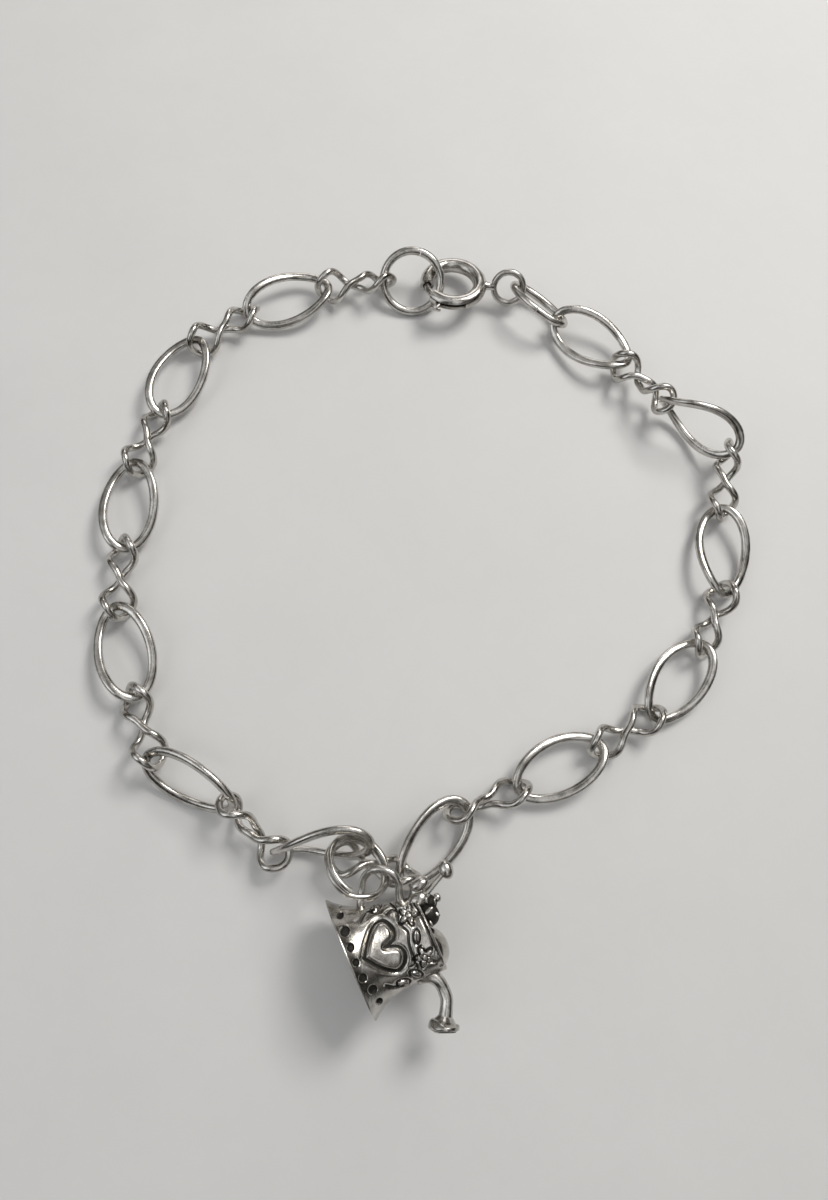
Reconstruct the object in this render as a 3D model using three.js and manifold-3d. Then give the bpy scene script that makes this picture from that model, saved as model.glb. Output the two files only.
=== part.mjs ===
// Charm bracelet of silver wire links with a spring-ring clasp and one watering can charm.
// It lies on a table as a closed loop. Millimetres, +Z up, the table at Z = 0.

import * as THREE from 'three';
import { mergeVertices } from 'three/addons/utils/BufferGeometryUtils.js';
import Module from 'manifold-3d';

const wasm = await Module();
wasm.setup();

// Long oval links, of wire rolled flat
const LONG_LENGTH = 9.05;
const LONG_WIDTH = 5.25;
const LONG_WIRE_WIDE = 0.8;
const LONG_WIRE_THICK = 0.6;
const LONG_FLAT_SHARE = 0.56;

// Twisted links, of round wire
const SMALL_LENGTH = 8.05;
const SMALL_WIDTH = 3.4;
const SMALL_WIRE = 0.65;
const SMALL_WAIST_GAP = 0.12;
const SMALL_WAIST_SHARPNESS = 8;
const SMALL_TWIST_ZONE = 0.95;

// Jump ring and connector link, both with a cut that shows
const JUMP_OUTER = 6.4;
const JUMP_WIRE = 0.8;
const CONNECTOR_LENGTH = 6.9;
const CONNECTOR_WIDTH = 4.1;
const CONNECTOR_WIRE = 0.75;
const CUT_GAP = 0.08;

// Spring-ring clasp
const CLASP_OUTER = 6.5;
const CLASP_TUBE = 1.35;
const CLASP_WALL = 0.25;
const CLASP_MOUTH_START = 10;
const CLASP_MOUTH_END = 45;
const CLASP_LOOP_TILT = -60;
const CLASP_LOOP_OUTER = 3.5;
const CLASP_LOOP_WIRE = 0.62;
const CLASP_COLLAR_LENGTH = 0.4;
const CLASP_COLLAR_DIAMETER = 0.8;
const CLASP_CUT_BEYOND = 4;

// The bolt that slides in the clasp's tube, and the button on it. Angles are in degrees round the
// clasp's ring, from the jump ring's side towards the near side of the bracelet.
const BOLT_DIAMETER = 0.65;
const BOLT_START = 5;
const BOLT_END = 78;
const BUTTON_ANGLE = 66;
const BUTTON_WIDE = 1.0;
const BUTTON_HIGH = 0.5;
const BUTTON_THICK = 0.32;
const BUTTON_REACH = 0.62;
const STEM_DIAMETER = 0.36;
const SLOT_WIDTH = 0.56;
const SLOT_ROOM = 2;
const TRIGGER_TRAVEL = 42;

// Split ring that carries the charm
const SPLIT_OUTER = 5.6;
const SPLIT_WIRE = 0.46;
const SPLIT_PITCH = 0.54;
const SPLIT_TURNS = 1.9;
const SPLIT_STEP = 0.5;

// Watering can charm: its body is an oval cone lying on its side, its wall flared towards the base
const CAN_LENGTH = 6.55;
const CAN_BASE_WIDE = 9.8;
const CAN_BASE_DEEP = 7.3;
const CAN_RIM_WIDE = 6.0;
const CAN_RIM_DEEP = 4.4;
const CAN_FLARE = 1.9;
const CAN_LEAN = 0.13;
const CAN_RECESS = 0.3;
const CAN_EDGE = 0.45;
const CAN_ROUNDING = 0.15;
const HANDLE_WIRE = 0.6;
const HANDLE_START = 2.2;
const HANDLE_LENGTH = 3.55;
const HANDLE_REACH = 2.7;
const HANDLE_LIFT = 1.0;
const SPOUT_DIAMETER = 1.0;
const SPOUT_START = 4.5;
const SPOUT_BOW = 1.1;
const SPOUT_REACH = 4.1;
const ROSE_DIAMETER = 2.35;
const HEART_WIDTH = 3.8;
const FLOWER_SIZE = 0.9;
const DOT_DIAMETER = 0.54;
const DOT_INSET = 0.5;
const RELIEF_HEIGHT = 0.22;

// Gaps and meshing
const LINK_GAP = 0.15;
const LINK_SLACK = 0.17;
const LONG_STEPS = 24;
const SMALL_STEPS = 36;
const RING_STEPS = 24;
const WIRE_SIDES = 6;
const TUBE_STEPS = 26;
const TUBE_SIDES = 10;
const CAN_SIDES = 32;

// The route of the chain, chosen by hand and kept as one list, a row for each piece in turn from
// the jump ring, anticlockwise seen from above. heading and roll are in degrees, height is that of
// the joint at the far end, and twist is how far the piece turns from its near end to its far end.
const ROUTE = [
  { piece: 'jump_ring', heading: 178, roll: -35, twist: 0, height: 2.0 },
  { piece: 'twisted', heading: -174, roll: 97, twist: -330, height: 1.6 },
  { piece: 'long', heading: -158, roll: -10, twist: -50, height: 1.5 },
  { piece: 'twisted', heading: -145, roll: 85, twist: -300, height: 1.4 },
  { piece: 'long', heading: -112, roll: 0, twist: -40, height: 1.4 },
  { piece: 'twisted', heading: -109, roll: 90, twist: -300, height: 1.4 },
  { piece: 'long', heading: -93, roll: 0, twist: -40, height: 1.4 },
  { piece: 'twisted', heading: -91, roll: 90, twist: -300, height: 1.4 },
  { piece: 'long', heading: -75, roll: 0, twist: -40, height: 1.4 },
  { piece: 'twisted', heading: -70, roll: 90, twist: -300, height: 2.0 },
  { piece: 'long', heading: -28, roll: 50, twist: 20, height: 2.4 },
  { piece: 'twisted', heading: -46, roll: -25, twist: -320, height: 1.7 },
  { piece: 'long', heading: 5, roll: 70, twist: -52, height: 4.6, shift: [0.2, 0.7, 0] },
  { piece: 'twisted', heading: -15, roll: 50, twist: -260, height: 2.0, shift: [-2.1, -1.1, -2.4] },
  { piece: 'long', heading: 51, roll: 31, twist: -32, height: 1.7, shift: [-0.4, -0.3, -0.4] },
  { piece: 'twisted', heading: 20, roll: 33, twist: -190, height: 1.4, shift: [-0.5, -0.5, 0] },
  { piece: 'long', heading: 25, roll: 0, twist: -40, height: 1.4, shift: [0.1, 0.1, 0] },
  { piece: 'twisted', heading: 29, roll: 90, twist: -300, height: 1.4 },
  { piece: 'long', heading: 50, roll: 5, twist: -50, height: 1.4 },
  { piece: 'twisted', heading: 64, roll: 90, twist: -300, height: 1.4 },
  { piece: 'long', heading: 86, roll: 5, twist: -50, height: 1.5 },
  { piece: 'twisted', heading: 81, roll: 60, twist: -360, height: 2.65 },
  { piece: 'long', heading: 143, roll: 105, twist: -80, height: 2.8, shift: [0.3, 0.1, 0.3] },
  { piece: 'twisted', heading: 130, roll: -57, twist: -385, height: 1.8 },
  { piece: 'long', heading: 146, roll: -12, twist: -60, height: 1.8, shift: [0.6, 0.4, 0] },
  { piece: 'connector', heading: 140, roll: 40, twist: 0, height: 2.2 },
  { piece: 'clasp', heading: 176, roll: 13, twist: 0, height: 2.0 },
];

// The charm and its split ring lie below the middle of the chain, by the end of the link they hang on
const CHARM_PLACE = { x: -8.0, y: -61.4, z: CAN_BASE_DEEP / 2, roll: 0, pitch: 0, heading: 24 };
const SPLIT_PLACE = { x: -7.4, y: -54.5, z: 4.85, roll: -39, pitch: -22, heading: -72 };

const radians = THREE.MathUtils.degToRad;

// A closed geometry from rings of points, each ring joined to the next
function skin(rings, closed) {
  const sides = rings[0].length;
  const points = rings.flat();
  const faces = [];
  const spans = closed ? rings.length : rings.length - 1;
  for (let i = 0; i < spans; i++) {
    const near = i * sides;
    const far = ((i + 1) % rings.length) * sides;
    for (let j = 0; j < sides; j++) {
      const k = (j + 1) % sides;
      faces.push(near + j, near + k, far + k, near + j, far + k, far + j);
    }
  }
  if (!closed) {
    const last = (rings.length - 1) * sides;
    for (let j = 1; j < sides - 1; j++) {
      faces.push(0, j + 1, j, last, last + j, last + j + 1);
    }
  }
  const geometry = new THREE.BufferGeometry();
  geometry.setAttribute('position', new THREE.Float32BufferAttribute(points.flatMap((p) => p.toArray()), 3));
  geometry.setIndex(faces);
  return geometry;
}

// The six corners of a wire's section, across and through the piece: round, or with flat faces
function roundSection(diameter) {
  const corners = [];
  for (let i = 0; i < WIRE_SIDES; i++) {
    const angle = (2 * Math.PI * i) / WIRE_SIDES;
    corners.push([(Math.cos(angle) * diameter) / 2, (Math.sin(angle) * diameter) / 2]);
  }
  return corners;
}

function flatSection(wide, thick) {
  const flat = (wide / 2) * LONG_FLAT_SHARE;
  return [
    [wide / 2, 0], [flat, thick / 2], [-flat, thick / 2],
    [-wide / 2, 0], [-flat, -thick / 2], [flat, -thick / 2],
  ];
}

// Sweeps a section along a wire from one parameter to another, or all the way round. place(t) gives
// the wire's centre and the normal of the piece there.
function sweep(place, section, steps, from = 0, to = 2 * Math.PI) {
  const closed = to - from >= 2 * Math.PI;
  const rings = [];
  for (let i = 0; i < (closed ? steps : steps + 1); i++) {
    const t = from + ((to - from) * i) / steps;
    const { centre, normal } = place(t);
    const tangent = place(t + 0.001).centre.sub(place(t - 0.001).centre).normalize();
    const across = new THREE.Vector3().crossVectors(normal, tangent).normalize();
    const through = new THREE.Vector3().crossVectors(tangent, across);
    rings.push(section.map(([u, v]) => centre.clone().addScaledVector(across, u).addScaledVector(through, v)));
  }
  return skin(rings, closed);
}

// An oval of wire along X in the XY plane, turned about X by twist degrees from end to end
function ovalPlace(length, width, twist) {
  return (t) => {
    const x = (length / 2) * Math.cos(t);
    const y = (width / 2) * Math.sin(t);
    const angle = radians(twist) * (x / length);
    return {
      centre: new THREE.Vector3(x, y * Math.cos(angle), y * Math.sin(angle)),
      normal: new THREE.Vector3(0, -Math.sin(angle), Math.cos(angle)),
    };
  };
}

// How much of the waist is taken away so that the widest part is 1 and the waist is ratio
function waistDepth(ratio) {
  const peak = (depth) => {
    const sine = (1 / (depth * (SMALL_WAIST_SHARPNESS + 1))) ** (1 / SMALL_WAIST_SHARPNESS);
    return sine * (1 - depth * sine ** SMALL_WAIST_SHARPNESS);
  };
  let depth = 0.8;
  for (let i = 0; i < 20; i++) depth = 1 - ratio * peak(depth);
  return { depth, peak: peak(depth) };
}

// A figure eight of wire: two round loops and a narrow waist, where the wires turn round each other
function twistedPlace(twist) {
  const half = (SMALL_LENGTH - SMALL_WIRE) / 2;
  const widest = (SMALL_WIDTH - SMALL_WIRE) / 2;
  const waist = (SMALL_WIRE + SMALL_WAIST_GAP) / 2;
  const { depth, peak } = waistDepth(waist / widest);
  return (t) => {
    const x = half * Math.cos(t);
    const sine = Math.sin(t);
    const offset = (widest * sine * (1 - depth * Math.abs(sine) ** SMALL_WAIST_SHARPNESS)) / peak;
    const share = THREE.MathUtils.clamp(x / (half * SMALL_TWIST_ZONE), -1, 1);
    const angle = radians(twist) * 0.25 * share * (3 - share * share);
    return {
      centre: new THREE.Vector3(x, offset * Math.cos(angle), offset * Math.sin(angle)),
      normal: new THREE.Vector3(0, -Math.sin(angle), Math.cos(angle)),
    };
  };
}

// What the walk needs of each kind of piece: its length between the wires at its ends, and how far
// those wires reach to each side of their own centre along the chain
const KINDS = {
  jump_ring: { span: JUMP_OUTER - JUMP_WIRE, near: JUMP_WIRE, far: JUMP_WIRE },
  twisted: { span: SMALL_LENGTH - SMALL_WIRE, near: SMALL_WIRE, far: SMALL_WIRE },
  long: { span: LONG_LENGTH - LONG_WIRE_WIDE, near: LONG_WIRE_WIDE, far: LONG_WIRE_WIDE },
  connector: { span: CONNECTOR_LENGTH - CONNECTOR_WIRE, near: CONNECTOR_WIRE, far: CONNECTOR_WIRE },
  clasp: {
    span: CLASP_OUTER + CLASP_COLLAR_LENGTH + CLASP_LOOP_OUTER - (CLASP_TUBE + CLASP_LOOP_WIRE) / 2,
    near: CLASP_LOOP_WIRE,
    far: CLASP_TUBE,
  },
};

// How far two hooked wires' centres pass each other
const hook = (one, other) => (one + other) / 2 + LINK_GAP + LINK_SLACK;

// Walks the route and returns the frame of each piece, its X axis along the chain
function walkChain() {
  const count = ROUTE.length;
  const joint = new THREE.Vector3(0, 0, ROUTE[count - 1].height);
  const stops = [];
  ROUTE.forEach((row, i) => {
    const kind = KINDS[row.piece];
    const before = KINDS[ROUTE[(i + count - 1) % count].piece];
    const after = KINDS[ROUTE[(i + 1) % count].piece];
    const start = hook(before.far, kind.near) / 2;
    if (row.shift) joint.add(new THREE.Vector3(...row.shift));
    const end = hook(kind.far, after.near) / 2;
    const step = kind.span - start - end;
    const rise = row.height - joint.z;
    const pitch = Math.asin(rise / step);
    const heading = radians(row.heading);
    const along = new THREE.Vector3(
      Math.cos(pitch) * Math.cos(heading), Math.cos(pitch) * Math.sin(heading), Math.sin(pitch),
    );
    const centre = joint.clone().addScaledVector(along, kind.span / 2 - start);
    joint.addScaledVector(along, step);
    stops.push({ row, centre, heading, pitch });
  });
  // What is left open when the walk comes back is shared out along the way
  const residual = joint.clone().setZ(0);
  return stops.map(({ row, centre, heading, pitch }, i) => {
    const frame = new THREE.Object3D();
    frame.position.copy(centre).addScaledVector(residual, -(i + 0.5) / count);
    frame.rotation.set(radians(row.roll), -pitch, heading, 'ZYX');
    return { row, frame };
  });
}

// Round section with any number of sides
function circleSection(diameter, sides) {
  return Array.from({ length: sides }, (_, i) => {
    const angle = (2 * Math.PI * (i + 0.5)) / sides;
    return [(Math.cos(angle) * diameter) / 2, (Math.sin(angle) * diameter) / 2];
  });
}

// A ring of wire with a narrow saw cut at the given angle
function cutRing(length, width, wire, cutAngle) {
  const place = ovalPlace(length - wire, width - wire, 0);
  const half = CUT_GAP / (Math.min(length, width) - wire);
  const cut = radians(cutAngle);
  return sweep(place, roundSection(wire), RING_STEPS, cut + half, cut + 2 * Math.PI - half);
}

// Solids, for the pieces that are joined or cut
function toSolid(geometry) {
  const bare = new THREE.BufferGeometry();
  bare.setAttribute('position', geometry.getAttribute('position'));
  if (geometry.index) bare.setIndex(geometry.index);
  const merged = mergeVertices(bare, 1e-4);
  return new wasm.Manifold(new wasm.Mesh({
    numProp: 3,
    vertProperties: new Float32Array(merged.getAttribute('position').array),
    triVerts: new Uint32Array(merged.index.array),
  }));
}

function toGeometry(solid) {
  const mesh = solid.getMesh();
  const geometry = new THREE.BufferGeometry();
  geometry.setAttribute('position', new THREE.BufferAttribute(new Float32Array(mesh.vertProperties), 3));
  geometry.setIndex(new THREE.BufferAttribute(new Uint32Array(mesh.triVerts), 1));
  return geometry;
}

const join = (solids) => solids.reduce((whole, solid) => whole.add(solid));

// An ellipsoid with its middle at x, y, z
function lump(x, y, z, rx, ry, rz, segments) {
  const geometry = new THREE.SphereGeometry(1, segments, Math.max(4, Math.round(segments / 2)));
  return toSolid(geometry.rotateX(Math.PI / 2).scale(rx, ry, rz).translate(x, y, z));
}

// A rod through points, with a diameter at each of them
function rod(points, diameters, sides) {
  const vectors = points.map((p) => new THREE.Vector3(...p));
  const rings = vectors.map((centre, i) => {
    const before = vectors[Math.max(i - 1, 0)];
    const after = vectors[Math.min(i + 1, vectors.length - 1)];
    const tangent = after.clone().sub(before).normalize();
    const across = new THREE.Vector3().crossVectors(new THREE.Vector3(0, 0, 1), tangent).normalize();
    const through = new THREE.Vector3().crossVectors(tangent, across);
    return circleSection(diameters[i], sides).map(
      ([u, v]) => centre.clone().addScaledVector(across, u).addScaledVector(through, v),
    );
  });
  return toSolid(skin(rings, false));
}

// The clasp's own frame: X along the chain towards the jump ring, its ring centred at ringX
const claspSpan = KINDS.clasp.span;
const ringRadius = (CLASP_OUTER - CLASP_TUBE) / 2;
const ringX = claspSpan / 2 - ringRadius;

function ringPlace(radius) {
  return (t) => ({
    centre: new THREE.Vector3(ringX + radius * Math.cos(t), radius * Math.sin(t), 0),
    normal: new THREE.Vector3(0, 0, 1),
  });
}

function claspBody() {
  const place = ringPlace(ringRadius);
  const mouth = [radians(CLASP_MOUTH_END), radians(CLASP_MOUTH_START + 360)];
  const bore = CLASP_TUBE - 2 * CLASP_WALL;
  const beyond = radians(CLASP_CUT_BEYOND);
  const tube = toSolid(sweep(place, circleSection(CLASP_TUBE, TUBE_SIDES), TUBE_STEPS, ...mouth));
  const hollow = toSolid(
    sweep(place, circleSection(bore, TUBE_SIDES - 2), TUBE_STEPS, mouth[0] - beyond, mouth[1] + beyond),
  );
  const halfStem = STEM_DIAMETER / 2 / ringRadius + radians(SLOT_ROOM);
  const deep = CLASP_TUBE / 2;
  const wide = SLOT_WIDTH / 2;
  const slot = toSolid(sweep(
    ringPlace(ringRadius + deep),
    [[-deep, wide], [-deep, -wide], [deep, -wide], [deep, wide]],
    8,
    radians(BUTTON_ANGLE) - halfStem,
    radians(BUTTON_ANGLE + TRIGGER_TRAVEL) + halfStem,
  ));
  const loopX = -claspSpan / 2 + (CLASP_LOOP_OUTER - CLASP_LOOP_WIRE) / 2;
  const loop = toSolid(
    sweep(
      ovalPlace(CLASP_LOOP_OUTER - CLASP_LOOP_WIRE, CLASP_LOOP_OUTER - CLASP_LOOP_WIRE, 0),
      roundSection(CLASP_LOOP_WIRE),
      RING_STEPS,
    ).rotateX(radians(CLASP_LOOP_TILT)).translate(loopX, 0, 0),
  );
  const collar = rod(
    [[ringX - CLASP_OUTER / 2 + CLASP_WALL / 2, 0, 0], [loopX + (CLASP_LOOP_OUTER - CLASP_LOOP_WIRE) / 2, 0, 0]],
    [CLASP_COLLAR_DIAMETER, CLASP_COLLAR_DIAMETER],
    8,
  );
  return toGeometry(join([tube, collar, loop]).subtract(hollow).subtract(slot));
}

function claspTrigger() {
  const bolt = toSolid(sweep(
    ringPlace(ringRadius), circleSection(BOLT_DIAMETER, 8), 9, radians(BOLT_START), radians(BOLT_END),
  ));
  const outside = CLASP_OUTER / 2 + BUTTON_REACH;
  const stem = rod([[ringRadius, 0, 0], [outside, 0, 0]], [STEM_DIAMETER, STEM_DIAMETER], 8);
  const button = lump(outside, 0, 0, BUTTON_THICK / 2, BUTTON_WIDE / 2, BUTTON_HIGH / 2, 10);
  return toGeometry(join([bolt, stem.add(button).rotate([0, 0, BUTTON_ANGLE]).translate([ringX, 0, 0])]));
}

// Two turns of wire side by side, as a flat coil
function splitRing() {
  const radius = (SPLIT_OUTER - SPLIT_WIRE) / 2;
  const turn = 2 * Math.PI * SPLIT_TURNS;
  // The wire steps from one turn to the next over a short part of the ring
  const middle = turn / 2;
  const place = (t) => {
    const share = THREE.MathUtils.smoothstep(t, middle - SPLIT_STEP, middle + SPLIT_STEP);
    return {
      centre: new THREE.Vector3(radius * Math.cos(t), radius * Math.sin(t), (share - 0.5) * SPLIT_PITCH),
      normal: new THREE.Vector3(0, 0, 1),
    };
  };
  return sweep(place, roundSection(SPLIT_WIRE), Math.round(RING_STEPS * SPLIT_TURNS), 0, turn - 1e-6);
}

// The can's own frame: X from base to rim along its axis, Y to the handle's side, Z up
function canSize(x, base, rim) {
  const end = Math.exp(-CAN_LENGTH / CAN_FLARE);
  return rim + ((base - rim) * (Math.exp(-x / CAN_FLARE) - end)) / (1 - end);
}

function faceHeight(x, y) {
  const across = (y + CAN_LEAN * x) / (canSize(x, CAN_BASE_WIDE, CAN_RIM_WIDE) / 2);
  return (canSize(x, CAN_BASE_DEEP, CAN_RIM_DEEP) / 2) * Math.sqrt(Math.max(1 - across * across, 0));
}

// Sections of the can, each smaller than its outside by an inset, at places along its axis
function canRings(stations) {
  return stations.map(([x, inset]) => {
    const wide = canSize(x, CAN_BASE_WIDE, CAN_RIM_WIDE) / 2 - inset;
    const deep = canSize(x, CAN_BASE_DEEP, CAN_RIM_DEEP) / 2 - inset;
    return Array.from({ length: CAN_SIDES }, (_, i) => {
      const angle = (2 * Math.PI * i) / CAN_SIDES;
      return new THREE.Vector3(x, wide * Math.cos(angle) - CAN_LEAN * x, deep * Math.sin(angle));
    });
  });
}

// A place on the upper face, by its shares of the length and of the half width there
function onFace(along, across) {
  const x = along * CAN_LENGTH;
  const y = across * (canSize(x, CAN_BASE_WIDE, CAN_RIM_WIDE) / 2) - CAN_LEAN * x;
  return [x, y, faceHeight(x, y)];
}

// A place beside the can: its distance out from the wall on the handle's side (1) or the spout's (-1)
function beside(x, side, out, up) {
  return [x, side * (canSize(x, CAN_BASE_WIDE, CAN_RIM_WIDE) / 2 + out) - CAN_LEAN * x, up];
}

// The heart, raised from the face, its point towards the base
function heart() {
  const outline = [];
  const steps = 22;
  const middle = [0.4 * CAN_LENGTH, -0.2];
  for (let i = 0; i < steps; i++) {
    const t = (2 * Math.PI * i) / steps;
    const along = (13 * Math.cos(t) - 5 * Math.cos(2 * t) - 2 * Math.cos(3 * t) - Math.cos(4 * t)) / 16;
    outline.push([CAN_LENGTH * (0.43 + 0.25 * along), (HEART_WIDTH / 2) * Math.sin(t) ** 3 + middle[1]]);
  }
  // Each level's size and its height over the face
  const levels = [[1, -0.3], [0.97, RELIEF_HEIGHT * 0.7], [0.75, RELIEF_HEIGHT], [0.4, RELIEF_HEIGHT]];
  return toSolid(skin(levels.map(([size, height]) => outline.map(([x, y]) => {
    const px = middle[0] + (x - middle[0]) * size;
    const py = middle[1] + (y - middle[1]) * size;
    return new THREE.Vector3(px, py, faceHeight(px, py) + height);
  })), false));
}

function flower(along, across) {
  const [x, y, z] = onFace(along, across);
  const petals = Array.from({ length: 5 }, (_, i) => {
    const angle = (2 * Math.PI * i) / 5 + 0.3;
    const px = x + FLOWER_SIZE * 0.58 * Math.cos(angle);
    const py = y + FLOWER_SIZE * 0.58 * Math.sin(angle);
    return lump(px, py, faceHeight(px, py), FLOWER_SIZE * 0.36, FLOWER_SIZE * 0.36, RELIEF_HEIGHT, 7);
  });
  return join([...petals, lump(x, y, z, FLOWER_SIZE * 0.28, FLOWER_SIZE * 0.28, RELIEF_HEIGHT * 1.5, 6)]);
}

const leafOn = (along, across) => lump(...onFace(along, across), 0.6, 0.28, RELIEF_HEIGHT, 8);
const stemOn = (places) => rod(places.map((place) => onFace(...place)), places.map(() => 0.3), 5);

// An arch of wire, as shares of its length, of its reach from the wall and of its lift
function handle() {
  const shares = [
    [0, -0.14, -0.4], [0.08, 0.15, -0.45], [0.21, 0.52, -0.3], [0.34, 0.82, 0.1], [0.54, 1, 0.7],
    [0.76, 0.99, 1], [0.96, 0.78, 1], [1, 0.49, 0.75], [0.93, 0.21, 0.35], [0.85, -0.15, 0],
  ];
  const points = shares.map(([along, out, up]) => (
    beside(HANDLE_START + along * HANDLE_LENGTH, 1, out * HANDLE_REACH, up * HANDLE_LIFT)
  ));
  return rod(points, points.map(() => HANDLE_WIRE), 8);
}

// The spout bows towards the rim and ends in a flared rose: shares of its bow and reach, and of the
// spout's or the rose's diameter
function spout() {
  const bent = (shares, diameter, sides) => rod(
    shares.map(([bow, out]) => beside(SPOUT_START + bow * SPOUT_BOW, -1, out * SPOUT_REACH, 0)),
    shares.map(([, , share]) => share * diameter),
    sides,
  );
  return join([
    bent([[0, -0.12, 1.7], [0.68, 0.015, 1.2], [1, 0.19, 1], [1, 0.45, 1], [0.73, 0.62, 1], [0.41, 0.76, 1.1]], SPOUT_DIAMETER, 10),
    bent([[0.45, 0.74, 0.42], [0.14, 0.86, 0.85], [0, 0.92, 1], [-0.14, 1, 0.8]], ROSE_DIAMETER, 12),
  ]);
}

// The domed hood over part of the can's mouth, and the leaves and buds beside it
function mouthCluster() {
  const mouth = (x, y, z, rx, ry, rz, segments) => lump(CAN_LENGTH + x, y, z, rx, ry, rz, segments);
  const stalk = (points, diameters) => rod(points.map(([x, y, z]) => [CAN_LENGTH + x, y, z]), diameters, 6);
  return [
    mouth(-0.45, -1.95, 0, 1.3, 1.6, CAN_RIM_DEEP * 0.44, 14),
    mouth(0.35, 0.4, 0.2, 0.85, 0.9, 1.3, 8), mouth(0.85, 1.2, 0.2, 0.55, 0.6, 0.8, 7),
    mouth(0.15, 1.8, 0.3, 0.95, 0.8, 0.9, 7), mouth(0.25, 2.4, 0.5, 0.6, 0.6, 0.5, 7),
    mouth(0.65, 2.8, 1.0, 0.78, 0.54, 0.5, 8), mouth(3.0, 2.95, 1.0, 0.56, 0.78, 0.55, 8),
    mouth(1.5, 1.3, 0.6, 0.3, 0.36, 0.34, 6),
    stalk([[0.25, 1.7, 0.5], [1.55, 2.25, 0.7], [2.9, 2.85, 1.0]], [0.55, 0.45, 0.4]),
    stalk([[0.15, 1.2, 0.3], [1.45, 1.3, 0.6]], [0.4, 0.3]),
  ];
}

function wateringCan() {
  const body = toSolid(skin(canRings([
    [0, CAN_ROUNDING], [CAN_ROUNDING, 0], [0.11 * CAN_LENGTH, 0], [0.22 * CAN_LENGTH, 0], [0.37 * CAN_LENGTH, 0],
    [0.58 * CAN_LENGTH, 0], [CAN_LENGTH - CAN_ROUNDING, 0], [CAN_LENGTH, CAN_ROUNDING],
  ]), false));
  const recess = toSolid(skin(canRings([[-0.2, CAN_EDGE], [CAN_RECESS, CAN_EDGE + 0.1]]), false));
  const ornaments = [
    heart(), flower(0.82, 0.62), flower(0.8, -0.45), leafOn(0.52, 0.87), leafOn(0.47, -0.84),
    stemOn([[0.79, 0.45], [0.7, 0.16], [0.76, -0.24]]),
  ];
  // The row of dots follows the base's edge, by shares of the half width
  const dots = [0.98, 0.81, 0.53, 0.25, 0, -0.27, -0.54, -0.79, -0.97].map((across) => {
    const [x, y, z] = onFace((DOT_INSET * (1 + across * across)) / CAN_LENGTH, across);
    return lump(x, y, z + 0.1, DOT_DIAMETER / 2, DOT_DIAMETER / 2, 0.26, 6);
  });
  return join([body.subtract(recess), handle(), spout(), ...mouthCluster(), ...ornaments]).subtract(join(dots));
}

const silver = (name) => new THREE.MeshStandardMaterial({ name, color: 0xc9c6bf, roughness: 0.25, metalness: 1 });

function named(name, geometry, frame) {
  const mesh = new THREE.Mesh(geometry, silver(name));
  mesh.name = name;
  mesh.position.copy(frame.position);
  mesh.rotation.copy(frame.rotation);
  return mesh;
}

const bracelet = new THREE.Group();
const counts = { long: 0, twisted: 0 };
const numbered = (kind) => {
  counts[kind] += 1;
  return `${kind}_link_${String(counts[kind]).padStart(2, '0')}`;
};
const walked = walkChain();
const makers = {
  long: (row) => sweep(
    ovalPlace(LONG_LENGTH - LONG_WIRE_WIDE, LONG_WIDTH - LONG_WIRE_WIDE, row.twist),
    flatSection(LONG_WIRE_WIDE, LONG_WIRE_THICK),
    LONG_STEPS,
  ),
  twisted: (row) => sweep(twistedPlace(row.twist), roundSection(SMALL_WIRE), SMALL_STEPS),
  jump_ring: () => cutRing(JUMP_OUTER, JUMP_OUTER, JUMP_WIRE, -105),
  connector: () => cutRing(CONNECTOR_LENGTH, CONNECTOR_WIDTH, CONNECTOR_WIRE, 97),
};
for (const { row, frame } of walked) {
  if (row.piece === 'clasp') {
    bracelet.add(named('clasp_body', claspBody(), frame), named('clasp_trigger', claspTrigger(), frame));
  } else {
    const name = { jump_ring: 'jump_ring', connector: 'connector_link' }[row.piece] ?? numbered(row.piece);
    bracelet.add(named(name, makers[row.piece](row), frame));
  }
}

const placed = (place) => {
  const frame = new THREE.Object3D();
  frame.position.set(place.x, place.y, place.z);
  frame.rotation.set(radians(place.roll), radians(place.pitch), radians(place.heading), 'ZYX');
  return frame;
};
bracelet.add(
  named('watering_can_charm', toGeometry(wateringCan()), placed(CHARM_PLACE)),
  named('split_ring', splitRing(), placed(SPLIT_PLACE)),
);

// The whole stands on Z = 0 with its middle over the origin
const bounds = new THREE.Box3().setFromObject(bracelet, true);
for (const mesh of bracelet.children) {
  mesh.position.x -= (bounds.min.x + bounds.max.x) / 2;
  mesh.position.y -= (bounds.min.y + bounds.max.y) / 2;
  mesh.position.z -= bounds.min.z;
}

export default bracelet;
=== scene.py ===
# %% [markdown]
# # A silver charm bracelet
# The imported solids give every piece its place. Each one is built again here with round wire, an
# engraved charm and tarnished silver, in metres and in the same frame as the solids.

# %%
import math

import bmesh
import bpy
import numpy as np
from mathutils import Matrix, Vector


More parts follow.
